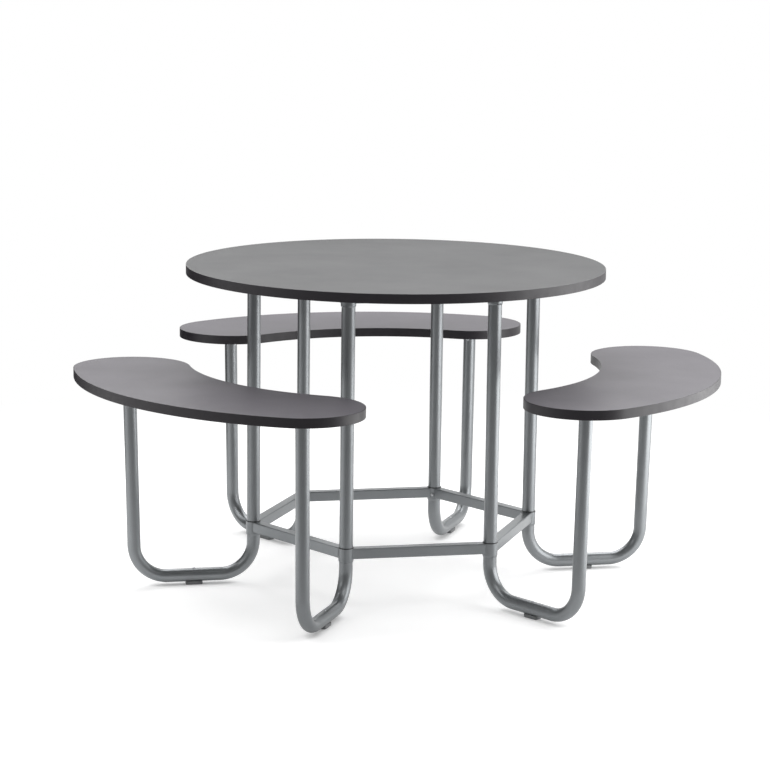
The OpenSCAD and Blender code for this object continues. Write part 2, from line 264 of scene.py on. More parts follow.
def full_turn(count):
    """Angles of a full turn in equal steps, in radians."""
    return np.linspace(0.0, 2 * math.pi, count, endpoint=False)


def grid_of(x, y, z):
    """Points (x, y, z) from coordinates that are spread to one shape."""
    return np.stack(np.broadcast_arrays(x, y, z), axis=-1)


def volume(points, faces):
    """Volume inside the faces: the sum of the tetrahedra from the origin to each face's fan of triangles."""
    total = 0.0
    for group in faces:
        first = points[group[:, 0]][:, None]
        total += (first * np.cross(points[group[:, 1:-1]], points[group[:, 2:]])).sum()
    return total / 6.0


def solid(grid, wrap_rows=False):
    """Closed skin over grid[row, column]. Columns join up end to end. Rows do too where wrap_rows is set, and
    otherwise one flat face closes the first row and one the last. The faces are turned to point outwards."""
    rows, columns = grid.shape[:2]
    points = grid.reshape(-1, 3)
    number = np.arange(rows * columns).reshape(rows, columns)
    beside = np.roll(number, -1, axis=1)
    if wrap_rows:
        corners = [number, beside, np.roll(beside, -1, axis=0), np.roll(number, -1, axis=0)]
    else:
        corners = [number[:-1], beside[:-1], beside[1:], number[1:]]
    faces = [np.stack(corners, axis=-1).reshape(-1, 4)]
    if not wrap_rows:
        faces += [number[:1, ::-1], number[-1:]]
    if volume(points, faces) < 0.0:
        faces = [group[:, ::-1] for group in faces]
    return points, faces


def hollow(outer, inner):
    """Closed skin of a wall: the outer face runs forwards, the inner face back, and the ends join."""
    return solid(np.concatenate([outer, inner[::-1]]), wrap_rows=True)


def joined(parts):
    """Several solids as one part: the points one after another, the faces counted on."""
    points, faces, start = [], [], 0
    for part_points, part_faces in parts:
        points.append(part_points)
        faces += [group + start for group in part_faces]
        start += len(part_points)
    return np.concatenate(points), faces


def placed(part, turn=0.0, lean=0.0, at=(0.0, 0.0, 0.0)):
    """A part leaned about Y, moved to its place and then turned about the table's axis, both in degrees."""
    points, faces = part
    place = Matrix.Rotation(math.radians(turn), 4, "Z") @ Matrix.Translation(at)
    place = np.array(place @ Matrix.Rotation(math.radians(lean), 4, "Y"))
    return points @ place[:3, :3].T + place[:3, 3], faces


def around(part, turns):
    """The part repeated at each turn about the table's axis."""
    return joined([placed(part, turn) for turn in turns])


def oblong(inner, outer, low, high):
    """Corners of an upright oblong, from one distance and height to another."""
    return [(inner, low), (outer, low), (outer, high), (inner, high)]


def rounded(corners, radii, steps=5):
    """A closed outline with its corners rounded. Each corner becomes the curve
    (1-t)^2 before + 2t(1-t) corner + t^2 after, where before and after lie one radius away along its two sides.
    One more point on each side, a little further out, keeps the flat sides flat in smooth shading."""
    corners = np.asarray(corners, float)
    radii = np.broadcast_to(np.asarray(radii, float), len(corners))[:, None]
    back = np.roll(corners, 1, axis=0) - corners
    on = np.roll(corners, -1, axis=0) - corners
    back = back / np.linalg.norm(back, axis=1, keepdims=True) * radii
    on = on / np.linalg.norm(on, axis=1, keepdims=True) * radii
    before, after = corners + back, corners + on
    t = np.linspace(0.0, 1.0, steps)[None, :, None]
    curve = (1 - t) ** 2 * before[:, None] + 2 * t * (1 - t) * corners[:, None] + t**2 * after[:, None]
    further = 1.3
    ends = [(corners + further * side)[:, None] for side in (back, on)]
    return np.concatenate([ends[0], curve, ends[1]], axis=1).reshape(-1, 2)


def evened(outline, count):
    """How far along a closed outline equal steps lie, and the points there."""
    closed = np.vstack([outline, outline[:1]])
    far = np.concatenate([[0.0], np.cumsum(np.linalg.norm(np.diff(closed, axis=0), axis=1))])
    even = np.linspace(0.0, far[-1], count, endpoint=False)
    return even, np.column_stack([np.interp(even, far, column) for column in closed.T])


def revolved(profile, columns=64):
    """A closed profile of (radius, height) carried round the Z axis: (r cos a, r sin a, z)."""
    turn = full_turn(columns)
    radius, height = profile.T[:, :, None]
    return solid(grid_of(radius * np.cos(turn), radius * np.sin(turn), height), wrap_rows=True)


def board(outline, profile, wrap_rows):
    """A profile of (inward, height) carried round an outline: row i is the outline drawn in by inward[i]."""
    return solid(np.stack([grid_of(*outline(inward).T, height) for inward, height in profile]), wrap_rows)


def stretch(x, z, heading):
    """Rows of a path in the XZ plane: x, z and the direction of travel."""
    return np.column_stack(np.broadcast_arrays(x, z, heading))


def tube(path, outer, inner, columns=64, squeeze=0.0, shaped=None):
    """A tube along a path with rows of x, z and the direction of travel h. A wall of radius r is
    (x - sin h r cos a, r sin a, z + cos h r cos a). In a bend cos a shrinks by the squeeze and sin a grows by half
    of it. shaped changes the outer wall's points, as a dent does."""
    turn = full_turn(columns)
    x, z, heading = path.T[:, :, None]
    outer, inner, squeeze = [np.broadcast_to(value, len(path))[:, None] for value in (outer, inner, squeeze)]
    across = np.cos(turn) * (1.0 - squeeze)
    aside = np.sin(turn) * (1.0 + squeeze / 2)
    walls = [grid_of(x - np.sin(heading) * r * across, r * aside, z + np.cos(heading) * r * across)
             for r in (outer, inner)]
    return hollow(shaped(walls[0]) if shaped else walls[0], walls[1])


def weld_bead(path, outward, radius):
    """A bead along a closed path. With t the path's direction and n the outward direction,
    a point is path + radius (cos a n + sin a t x n)."""
    turn = full_turn(8)[:, None]
    along = np.roll(path, -1, axis=0) - np.roll(path, 1, axis=0)
    along /= np.linalg.norm(along, axis=1, keepdims=True)
    aside = np.cross(along, outward)
    aside /= np.linalg.norm(aside, axis=1, keepdims=True)
    round_it = np.cos(turn) * outward[:, None] + np.sin(turn) * aside[:, None]
    return solid(path[:, None] + radius[:, None, None] * round_it, wrap_rows=True)


def dressed(name, part, slot, *nodes, made_of=None, crease=35.0):
    """Makes a part's object at the origin, in the finish named after its slot if no other is given, lets it ride
    on the root body, and hides the CAD nodes that it stands for."""
    points, faces = part
    mesh = bpy.data.meshes.new(name)
    sizes = np.concatenate([np.full(len(group), group.shape[1]) for group in faces])
    corners = np.concatenate([group.ravel() for group in faces])
    mesh.vertices.add(len(points))
    mesh.vertices.foreach_set("co", points.astype(np.float32).ravel())
    mesh.loops.add(len(corners))
    mesh.loops.foreach_set("vertex_index", corners.astype(np.int32))
    mesh.polygons.add(len(sizes))
    mesh.polygons.foreach_set("loop_start", (np.cumsum(sizes) - sizes).astype(np.int32))
    mesh.polygons.foreach_set("loop_total", sizes.astype(np.int32))
    mesh.update(calc_edges=True)
    if mesh.validate():
        raise RuntimeError(f"the mesh of {name} has a fault")
    mesh.shade_smooth()
    mesh.set_sharp_from_angle(angle=math.radians(crease))
    mesh.materials.append(bpy.data.materials[f"{made_of or slot}_finish"])
    made = bpy.data.objects.new(name, mesh)
    bpy.context.scene.collection.objects.link(made)
    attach(made, "root")
    if nodes:
        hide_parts(*nodes)


def dress_each(name, part, turns, slot, node):
    """Dresses a part at each turn about the table's axis. Objects and CAD nodes are numbered from 1."""
    for i, turn in enumerate(turns, start=1):
        dressed(f"{name}_{i}", placed(part, turn), slot, f"{node}_{i}")


def dress_board(name, parts, slot):
    """Dresses a board's laminate, backing and edge band."""
    face, back, band = parts
    dressed(f"{name}_face", face, slot, f"{name}_laminate")
    dressed(f"{name}_back_sheet", back, "backing", f"{name}_backing")
    dressed(f"{name}_band", band, "edge_band", f"{name}_edge_band")


# Shapes of this table


def table_outline(sizes):
    """Circle of the table: (R - inward) (cos a, sin a)."""
    turn = full_turn(360)
    return lambda inward: (sizes.table_radius - inward) * np.column_stack([np.cos(turn), np.sin(turn)])


def bench_outline(sizes):
    """Outline of a bench in its own frame, the bench towards +X and the table's axis at the origin.
    Four arcs touch without a kink: the outer arc round (c, 0), an end arc round (u, v), the hollow inner arc
    round the origin and the other end arc round (u, -v). Drawn in by d, the outer and end arcs lose d and the
    inner arc gains it."""
    inner, end, v = sizes.bench_inner_radius, sizes.bench_end_radius, sizes.bench_end_gap / 2
    reach = inner + end
    u = math.sqrt(reach**2 - v**2)
    apex = inner + sizes.bench_depth - end
    c = (apex**2 - reach**2) / (2 * (apex - u))
    outer = inner + sizes.bench_depth - c
    a, b = math.atan2(v, u - c), math.atan2(v, u)

    def arc(x, y, radius, start, stop, count):
        turn = np.linspace(start, stop, count, endpoint=False)
        return np.column_stack([x + radius * np.cos(turn), y + radius * np.sin(turn)])

    def outline(inward):
        return np.concatenate([
            arc(c, 0.0, outer - inward, -a, a, 110),
            arc(u, v, end - inward, a, b + math.pi, 56),
            arc(0.0, 0.0, inner + inward, b, -b, 84),
            arc(u, -v, end - inward, -b - math.pi, -a, 56),
        ])

    return outline


def panel_parts(outline, top, under, sizes):
    """Laminate, backing and edge band of a board. The sheets are the outline drawn in by the band and a hairline,
    with one more ring near the middle. The band is a closed strip with its two outer edges rounded."""
    inset, deep = sizes.band + sizes.hairline, sizes.band + 0.15
    sheets = [
        board(outline, [(deep, low), (inset, low), (inset, high), (deep, high)], wrap_rows=False)
        for low, high in ((top - sizes.laminate, top), (under, under + sizes.backing))]
    soft = [sizes.hairline, sizes.arris * 0.8, sizes.arris, sizes.hairline]
    strip = rounded(oblong(sizes.band, 0.0, under, top), soft, 6)
    return (*sheets, board(outline, strip, wrap_rows=True))


def table_leg(sizes):
    """Upright straight tube."""
    path = stretch(sizes.distance, np.linspace(sizes.joint, sizes.top, 9), math.pi / 2)
    return tube(path, sizes.tube_radius, sizes.tube_radius - sizes.tube_wall)


def u_leg(sizes, plate_under, fixings):
    """U leg in the plane of its leg: narrowed end, upright going down, quarter bend, run along the floor, bend
    and leaning upright. The bends are flattened a little, with a smooth start and end. The run's upper side has a
    dent for its screw, and the rows lie close together there."""
    r, wall, bend, lean = sizes.tube_radius, sizes.tube_wall, sizes.bend_radius, sizes.lean
    near, far = sizes.distance, sizes.distance + sizes.u_span
    middle, run = (near + far) / 2, sizes.run_under + r
    turn_z = run + bend
    down, up = -math.pi / 2, math.pi / 2 - lean
    step, lead, bend_rows = 0.0001, 0.008, 29
    fall = np.append(sizes.joint + np.array([sizes.spigot, step, 0.0, -wall, -wall - step]), turn_z + lead)
    first, second = np.linspace(down, 0.0, bend_rows), np.linspace(0.0, up, bend_rows)
    along = np.concatenate([
        np.linspace(near + bend, middle - lead, 9)[1:], np.linspace(middle - lead, middle + lead, 21)[1:],
        np.linspace(middle + lead, far - bend, 9)[1:-1]])
    start_x, start_z = far - bend + bend * math.cos(lean), turn_z - bend * math.sin(lean)
    reach = (plate_under - start_z) / math.cos(lean) - sizes.end_gap - r * math.tan(lean)
    rise = np.linspace(0.0, reach, 11)[1:]
    path = np.concatenate([
        stretch(near, fall, down),
        stretch(near + bend + bend * np.sin(first), turn_z - bend * np.cos(first), first),
        stretch(along, run, 0.0),
        stretch(far - bend + bend * np.sin(second), turn_z - bend * np.cos(second), second),
        stretch(start_x + math.sin(lean) * rise, start_z + math.cos(lean) * rise, up),
    ])
    rows, heading, ease = np.arange(len(path)), path[:, 2], 0.2
    outer = np.where(rows < 2, r - wall - sizes.slide_gap, r)
    inner = np.where(rows < 4, r - 2 * wall - sizes.slide_gap, r - wall)
    in_bend = smooth_step(down, down + ease, heading) * (1 - smooth_step(-ease, 0.0, heading))
    in_bend += smooth_step(0.0, ease, heading) * (1 - smooth_step(up - ease, up, heading))

    def dented(skin):
        away = np.hypot(skin[..., 0] - middle, skin[..., 1])
        near_screw = 1 - smooth_step(fixings.head_radius + 0.0003, fixings.head_radius + 0.0022, away)
        skin[..., 2] -= near_screw * np.maximum(skin[..., 2] - (run + r - fixings.head_seat), 0.0)
        return skin

    return tube(path, outer, inner, 96, sizes.flattening * in_bend, dented)


def sleeve(sizes, legs):
    """Sleeve round the Z axis with its upper end at height 0, narrowed at its lower end."""
    inner, foot = legs.tube_radius + legs.slide_gap, -sizes.sleeve_height
    corners = [
        (inner, foot), (inner + sizes.taper_wall, foot), (sizes.sleeve_radius, foot + sizes.taper),
        (sizes.sleeve_radius, 0.0), (inner, 0.0)]
    return revolved(rounded(corners, [0.0001, 0.0002, 0.0014, 0.0004, 0.0003]), 72)


def rail_section(size, corner):
    """Rounded square round the origin as (across, height): four quarter arcs, eleven points on each flat between."""
    turn = np.linspace(0.0, math.pi / 2, 7)[None, :] + np.arange(4)[:, None] * math.pi / 2
    signs = np.array([[1, 1], [-1, 1], [-1, -1], [1, -1]])[:, None] * (size / 2 - corner)
    arcs = signs + corner * np.stack([np.cos(turn), np.sin(turn)], axis=-1)
    t = np.linspace(0.0, 1.0, 13)[1:-1][None, :, None]
    flats = arcs[:, -1:] * (1 - t) + np.roll(arcs, -1, axis=0)[:, :1] * t
    return np.concatenate([arcs, flats], axis=1).reshape(-1, 2)


def rail_middle(legs):
    """Distance from the table's axis to a rail, a side of the hexagon that the legs stand on."""
    return legs.distance * math.cos(math.pi / 6)


def half_rail(across, sizes, legs, gap):
    """Half length of a rail at a distance across from its middle plane: L/2 - sqrt(rs^2 - across^2),
    so that the end follows its sleeve."""
    return legs.distance / 2 - np.sqrt((sizes.sleeve_radius + gap) ** 2 - across**2)


def rail_bar(sizes, legs, top):
    """Square tube between two sleeves: a rounded square section carried along Y, hollowed at both ends."""
    walls = []
    for wall in (0.0, sizes.rail_wall):
        across, height = rail_section(sizes.rail - 2 * wall, sizes.rail_corner - wall).T[:, None, :]
        along = np.linspace(-1.0, 1.0, 7)[:, None] * half_rail(across, sizes, legs, sizes.weld_gap)
        walls.append(grid_of(rail_middle(legs) + across, along, top - sizes.rail / 2 + height))
    return hollow(*walls)


def rail_welds(sizes, legs, top):
    """Rippled beads where a rail meets its sleeves. Each runs round the rail's section on the hollowed end, sunk
    by a share of its radius. It is thin on the upper side, which is flush with the sleeve."""
    rippling, thinnest, sunk, gap = 0.13, 0.15, 0.35, 0.0003
    far, section = evened(rail_section(sizes.rail, sizes.rail_corner), 168)
    across, height = section.T
    outward = grid_of(np.gradient(height), 0.0, -np.gradient(across))
    outward = outward / np.linalg.norm(outward, axis=1, keepdims=True)
    ripple = 1 + rippling * np.sin(2 * math.pi * far / sizes.bead_step)
    thin = smooth_step(sizes.rail / 2 - 0.003, sizes.rail / 2 - 0.0004, height)
    radius = sizes.bead * (ripple * (1 - thin) + thinnest * thin)
    half = half_rail(across, sizes, legs, gap)
    paths = [grid_of(rail_middle(legs) + across, side * half, top - sizes.rail / 2 + height)
             for side in (-1.0, 1.0)]
    return joined([weld_bead(path - outward * radius[:, None] * sunk, outward, radius) for path in paths])


def bench_socket(sizes, legs):
    """Round plate with a leaning spigot under it, the plate's lower face at 0."""
    disc = rounded(oblong(0.0005, sizes.plate_radius, 0.0, sizes.plate), [0.0002, 0.0008, 0.0005, 0.0002])
    outer = legs.tube_radius - legs.tube_wall - legs.slide_gap
    stub = oblong(outer - legs.tube_wall, outer, -legs.spigot, sizes.plate / 2)
    stub = revolved(rounded(stub, [0.0003, 0.0006, 0.0001, 0.0001]), 72)
    return joined([revolved(disc, 96), placed(stub, lean=math.degrees(legs.lean))])


def joint_ring(sizes, legs):
    """Flat plastic ring on a sleeve of the lower ring, round the Z axis."""
    section = oblong(legs.tube_radius + legs.slide_gap, sizes.sleeve_radius, sizes.ring_top, sizes.joint_ring_top)
    return revolved(rounded(section, [0.0001, 0.0001, 0.0007, 0.0003]))


def glide(sizes, run, tube_radius):
    """Moulded block along X: a rounded rectangle with its lower edge bevelled. Its top is the lower of the lip and
    the tube's surface run - sqrt(r^2 - y^2), reached by shrinking the rectangle towards its middle."""
    half = np.array([sizes.glide_length, sizes.glide_width]) / 2
    x, y = half
    rim = evened(rounded([(x, -y), (x, y), (-x, y), (-x, -y)], sizes.glide_corner, 9), 144)[1]

    def ring(inward, height):
        return grid_of(*(rim * (1 - inward / half)).T, height)

    def top(inward):
        aside = rim[:, 1] * (1 - inward / y)
        return np.minimum(sizes.glide_top, run - np.sqrt((tube_radius + sizes.seat_gap) ** 2 - aside**2))

    shoulder = 0.0003
    rows = [ring(0.010, 0.0), ring(0.0012, 0.0), ring(shoulder, 0.0004), ring(0.0, 0.0014),
            ring(0.0, sizes.glide_top - 0.0008), ring(shoulder, top(shoulder) - 0.0004)]
    rows += [ring(inward, top(inward)) for inward in (0.0009, *np.linspace(0.0018, 0.0117, 12))]
    return solid(np.stack(rows))


def screw(sizes, reach):
    """Domed screw along Z, its head from -head_height to 0 and its thread up to reach. The profile of
    (radius, height) is carried round, and in the recess the radius follows a hexagon: (w/2) / cos(a mod 60 - 30)."""
    r, h, thread, depth = sizes.head_radius, sizes.head_height, sizes.thread_radius, sizes.recess_depth
    dome = np.linspace(0.0, math.pi / 2, 6)
    hex_corner = sizes.recess_width / 2 / math.cos(math.pi / 6)
    edge, rim, fine = hex_corner * 1.25, 0.45, 0.0002
    head_radius = edge + (r - edge) * np.cos(dome) ** 0.8
    head_height = -rim * h - (1 - rim) * h * np.sin(dome)
    radius = np.array([
        thread * 0.2, thread * 0.7, thread, thread, r - fine, r, *head_radius, hex_corner, hex_corner, 0.0003])
    height = np.array([
        reach, reach, reach - 0.3 * thread, 0.0, 0.0, -fine, *head_height, -h, depth - h, depth - h + 0.0003])
    turn = full_turn(36)
    flats = math.cos(math.pi / 6) / np.cos(np.mod(turn, math.pi / 3) - math.pi / 6)
    in_recess = np.arange(len(radius))[:, None] >= len(radius) - 3
    reach_out = radius[:, None] * np.where(in_recess, flats, 1.0)
    return solid(grid_of(reach_out * np.cos(turn), reach_out * np.sin(turn), height[:, None]))


# Nodes


def add(tree, kind, inputs=None, **settings):
    """Adds a node. A socket among the inputs is linked, and any other value is set on the input."""
    made = tree.nodes.new(kind if kind.startswith("NodeGroup") else f"ShaderNode{kind}")
    for key, value in settings.items():
        setattr(made, key, value)
    for key, value in (inputs or {}).items():
        if isinstance(value, bpy.types.NodeSocket):
            tree.links.new(value, made.inputs[key])
        else:
            made.inputs[key].default_value = value
    return made


def output_of(tree, kind, inputs=None, output=0, **settings):
    """Adds a node and gives one of its outputs."""
    return add(tree, kind, inputs, **settings).outputs[output]


def reckon(tree, operation, *values):
    """One step of arithmetic."""
    return output_of(tree, "Math", dict(enumerate(values)), operation=operation)


def remap(tree, value, start, stop, least=0.0, most=1.0, kind="LINEAR"):
    """A value carried from the range start to stop into the range least to most."""
    return output_of(tree, "MapRange", {
        "Value": value, "From Min": start, "From Max": stop, "To Min": least, "To Max": most},
        interpolation_type=kind)


def blended(tree, factor, a, b, output=0, **settings):
    """A mix of two values, or of two colours where the output is the third."""
    return output_of(tree, "Mix", {"Factor": factor, "A": a, "B": b}, output, **settings)


def emptied(owner):
    """The node tree of a material or world, with no nodes yet."""
    owner.use_nodes = True
    owner.node_tree.nodes.clear()
    return owner.node_tree


def light_path(tree):
    """Light Path's outputs, and 1 for the rays that mirrors and glass send on."""
    path = add(tree, "LightPath").outputs
    return path, reckon(tree, "MAXIMUM", path["Is Glossy Ray"], path["Is Transmission Ray"])


DARK_GREY, GREY = (0.3, 0.3, 0.3, 1.0), (0.4, 0.4, 0.4, 1.0)
SOCKETS = {type(None): "NodeSocketVector", float: "NodeSocketFloat", tuple: "NodeSocketColor"}


def group_of(name, output, wire, **inputs):
    """Makes a node group once. An input's default tells its kind: none for a vector, or a number or a colour.
    wire(tree, given) makes the group's nodes and gives its output, a colour if it is named so."""
    if name in bpy.data.node_groups:
        return bpy.data.node_groups[name]
    tree = bpy.data.node_groups.new(name, "ShaderNodeTree")
    for label, default in inputs.items():
        socket = tree.interface.new_socket(name=label, in_out="INPUT", socket_type=SOCKETS[type(default)])
        if default is not None:
            socket.default_value = default
    kind = SOCKETS[tuple if output == "Color" else float]
    tree.interface.new_socket(name=output, in_out="OUTPUT", socket_type=kind)
    given = add(tree, "NodeGroupInput").outputs
    add(tree, "NodeGroupOutput", {output: wire(tree, given)})
    return tree


def texture(tree, kind, given, output=0, **settings):
    """A texture at a node group's own Vector and Scale. Detail and Smoothness are inputs, the rest settings."""
    inputs = {key: settings.pop(key) for key in ("Detail", "Smoothness") if key in settings}
    return output_of(tree, kind, {"Vector": given["Vector"], "Scale": given["Scale"], **inputs}, output, **settings)


def soft_mottle():
    """Colour that drifts slowly between two tones."""
    def wire(tree, given):
        drift = remap(tree, texture(tree, "TexNoise", given, Detail=4.0), 0.34, 0.66)
        return blended(tree, drift, given["Dark"], given["Light"], 2, data_type="RGBA")

    return group_of("Soft mottle", "Color", wire, Vector=None, Scale=10.0, Dark=DARK_GREY, Light=GREY)


def fine_flake():
    """Colour with fine bright and dark specks, one tone for each cell."""
    def wire(tree, given):
        cells = texture(tree, "TexVoronoi", given, "Color")
        red = output_of(tree, "SeparateColor", {"Color": cells}, "Red")
        gain = remap(tree, red, 0.0, 1.0, given["Least"], given["Most"])
        return output_of(tree, "VectorMath", {0: given["Color"], "Scale": gain}, operation="SCALE")

    return group_of("Fine flake", "Color", wire, Vector=None, Scale=1500.0, Color=GREY, Least=0.9, Most=1.1)


def uneven_gloss():
    """Roughness that wanders between two values, as handled and wiped surfaces have."""
    def wire(tree, given):
        return remap(tree, texture(tree, "TexNoise", given, Detail=3.0), 0.32, 0.68, given["Least"], given["Most"])

    return group_of("Uneven gloss", "Roughness", wire, Vector=None, Scale=8.0, Least=0.3, Most=0.4)


def fine_pebble():
    """Height of a fine pebbled skin: rounded cells over a softer noise."""
    def wire(tree, given):
        cells = texture(tree, "TexVoronoi", given, "Distance", Smoothness=0.8, feature="SMOOTH_F1")
        return blended(tree, given["Softness"], cells, texture(tree, "TexNoise", given, Detail=2.0))

    return group_of("Fine pebble", "Height", wire, Vector=None, Scale=900.0, Softness=0.5)


# Finishes


def shade(base, factor):
    """A colour made lighter or darker by a factor."""
    return (*[min(channel * factor, 1.0) for channel in base], 1.0)


def effect(tree, tool, where, scale, **inputs):
    """Places a node group and gives its output."""
    return output_of(tree, "Group", {"Vector": where, "Scale": scale, **inputs}, node_tree=tool)


def finish(name, base, drift, gloss, relief, flake=None, metallic=0.0, specular=0.5):
    """A material on the object's own coordinates. drift and flake hold the scale and the darkest and lightest share
    of the colour, in a slow mottle and in fine specks. gloss holds the scale, middle and half range of the
    roughness, and relief the scale, softness, depth and strength of the pebbled skin."""
    material = bpy.data.materials.new(f"{name}_finish")
    material.use_nodes = True
    tree = material.node_tree
    shader = next(n for n in tree.nodes if n.type == "BSDF_PRINCIPLED")
    shader.inputs["Metallic"].default_value = metallic
    shader.inputs["Specular IOR Level"].default_value = specular
    where = output_of(tree, "TexCoord", output="Object")
    scale, dark, light = drift
    tone = effect(tree, soft_mottle(), where, scale, Dark=shade(base, dark), Light=shade(base, light))
    if flake:
        scale, least, most = flake
        tone = effect(tree, fine_flake(), where, scale, Color=tone, Least=least, Most=most)
    scale, middle, half = gloss
    rough = effect(tree, uneven_gloss(), where, scale, Least=middle - half, Most=middle + half)
    scale, softness, depth, strength = relief
    height = effect(tree, fine_pebble(), where, scale, Softness=softness)
    bump = output_of(tree, "Bump", {"Height": height, "Distance": depth, "Strength": strength})
    for key, value in (("Base Color", tone), ("Roughness", rough), ("Normal", bump)):
        tree.links.new(value, shader.inputs[key])


def silver_paint(name, base, finishes):
    """Silver grey powder paint: metal flakes in a semi-gloss skin with a faint orange peel."""
    finish(name, base, (14.0, 0.98, 1.02), (20.0, finishes.paint_roughness, 0.02), (300.0, 0.8, 0.0002, 0.025),
           flake=(1800.0, 0.95, 1.05), metallic=finishes.paint_metallic)


def laminate(name, base, roughness):
    """Plain dark laminate with a fine pressed texture and slightly uneven gloss."""
    finish(name, base, (5.0, 0.94, 1.06), (6.0, roughness, 0.02), (1100.0, 0.4, 0.0001, 0.12),
           flake=(1300.0, 0.90, 1.10), specular=0.14)


def moulded(name, base, roughness):
    """Moulded plastic: one colour with a soft drift, a slight grain and a satin skin."""
    finish(name, base, (30.0, 0.90, 1.10), (40.0, roughness, 0.04), (900.0, 0.5, 0.0001, 0.15))


def chipboard(name, base):
    """Pressed wood chips: cells of different tones over a warm drift, dull and slightly rough."""
    finish(name, base, (60.0, 0.80, 1.15), (30.0, 0.86, 0.06), (500.0, 0.3, 0.0004, 0.5),
           flake=(420.0, 0.62, 1.25))


def zinc_steel(name, base):
    """Bright plated steel with a cloudy tone."""
    finish(name, base, (260.0, 0.82, 1.10), (300.0, 0.31, 0.07), (2600.0, 0.7, 0.00005, 0.15), metallic=1.0)


def floor_material(base, settings):
    """Pale matt floor. Its colour takes the object's shadow. A glow that only the camera, mirrors and glass see
    lifts the lit floor to white. Ambient occlusion weakens that glow within 2 cm round each foot, a painted
    contact shadow. In mirrors the colour and the glow are darkened towards the camera, a painted shade, with
    0.45 |x| + y from 0 to -1.5 m, y being the camera's direction. For the camera a white glow alone is left past
    3 m from the axis, by a smooth change of sqrt(x^2 + y^2) from 1.5 m on."""
    material = bpy.data.materials.new("studio_floor")
    tree = emptied(material)
    where = output_of(tree, "TexCoord", output="Object")
    paper = effect(tree, soft_mottle(), where, 1.5, Dark=shade(base, 0.995), Light=shade(base, 1.005))
    distance = output_of(tree, "VectorMath", {0: where}, "Value", operation="LENGTH")
    far = remap(tree, distance, 1.5, 3.0, kind="SMOOTHSTEP")
    turned = output_of(tree, "Mapping", {"Vector": where, "Rotation": (0.0, 0.0, settings.heading)})
    part = add(tree, "SeparateXYZ", {0: turned}).outputs
    wedge = reckon(tree, "MULTIPLY_ADD", reckon(tree, "ABSOLUTE", part["X"]), 0.45, part["Y"])
    # Painted shade: for mirror rays the floor's colour and glow are darkened towards the camera by this factor
    painted_front_shade = remap(tree, wedge, -1.5, 0.0, settings.painted_floor_shade)
    path, mirrored = light_path(tree)
    dimmed = blended(tree, mirrored, 1.0, painted_front_shade)
    matt = output_of(tree, "BsdfDiffuse", {
        "Color": output_of(tree, "VectorMath", {0: paper, "Scale": dimmed}, operation="SCALE")})
    glow = reckon(tree, "MAXIMUM", path["Is Camera Ray"], mirrored)
    # Painted contact shadow: ambient occlusion darkens the glow within 2 cm of the feet
    for factor in (dimmed, output_of(tree, "AmbientOcclusion", {"Distance": 0.02}, "AO"), settings.floor_glow):
        glow = reckon(tree, "MULTIPLY", glow, factor)
    lit = output_of(tree, "AddShader", {0: matt, 1: output_of(tree, "Emission", {"Strength": glow})})
    white = output_of(tree, "Emission", {"Strength": 1.0})
    share_of_white = reckon(tree, "MULTIPLY", far, path["Is Camera Ray"])
    surface = output_of(tree, "MixShader", {"Fac": share_of_white, 1: lit, 2: white})
    add(tree, "OutputMaterial", {"Surface": surface})
    return material


# Studio


def in_view(settings, right, forwards, height):
    """A place given by how far it lies to the right of the table's axis and beyond it, as the camera sees them."""
    s, c = math.sin(settings.heading), math.cos(settings.heading)
    return Vector((right * c + forwards * s, forwards * c - right * s, height))


def make_camera(settings):
    """Camera at the photograph's place. Right is forwards x up; roll turns right and up round forwards."""
    heading, yaw, pitch, roll = settings.heading, settings.yaw, settings.pitch, settings.roll
    data = bpy.data.cameras.new("camera")
    data.sensor_width, data.lens = 36.0, settings.lens
    data.clip_start, data.clip_end = 0.1, 100.0
    forwards = Vector((math.sin(yaw) * math.cos(pitch), math.cos(yaw) * math.cos(pitch), math.sin(pitch)))
    right = forwards.cross(Vector((0.0, 0.0, 1.0))).normalized()
    up = right.cross(forwards)
    right, up = math.cos(roll) * right + math.sin(roll) * up, math.cos(roll) * up - math.sin(roll) * right
    axes = Matrix.Rotation(-heading, 3, "Z") @ Matrix((right, up, -forwards)).transposed()
    camera = bpy.data.objects.new("camera", data)
    place = in_view(settings, 0.0, -settings.camera_distance, settings.camera_height)
    camera.matrix_world = Matrix.Translation(place) @ axes.to_4x4()
    bpy.context.scene.collection.objects.link(camera)
    bpy.context.scene.camera = camera


# Each lamp's place, target and size, the first two as in_view takes them
LAMPS = {
    "key": ((1.6, -0.3, 0.85), (0.0, -0.3, 0.85), (1.6, 1.6)),
    "fill": ((-2.4, -1.2, 2.6), (-0.4, -0.6, 0.0), (2.0, 2.0)),
    "top": ((0.0, -0.3, 3.3), (0.0, -0.3001, 0.0), (5.0, 5.0)),
    "back": ((0.0, 2.6, 2.9), (0.0, 0.0, 0.3), (4.0, 2.4)),
}


def make_lamp(settings, name, place, target, size):
    """Soft rectangular lamp that faces its target, and that mirrors see but the camera doesn't. Its power is
    pi x brightness x area, so that a brightness of 1 is that of a white surface."""
    data = bpy.data.lights.new(f"{name}_lamp", "AREA")
    data.shape = "RECTANGLE"
    data.size, data.size_y = size
    data.energy = math.pi * getattr(settings, name) * size[0] * size[1]
    lamp = bpy.data.objects.new(f"{name}_lamp", data)
    lamp.location = in_view(settings, *place)
    away = lamp.location - in_view(settings, *target)
    lamp.rotation_euler = away.to_track_quat("Z", "Y").to_euler()
    lamp.visible_camera = False
    bpy.context.scene.collection.objects.link(lamp)


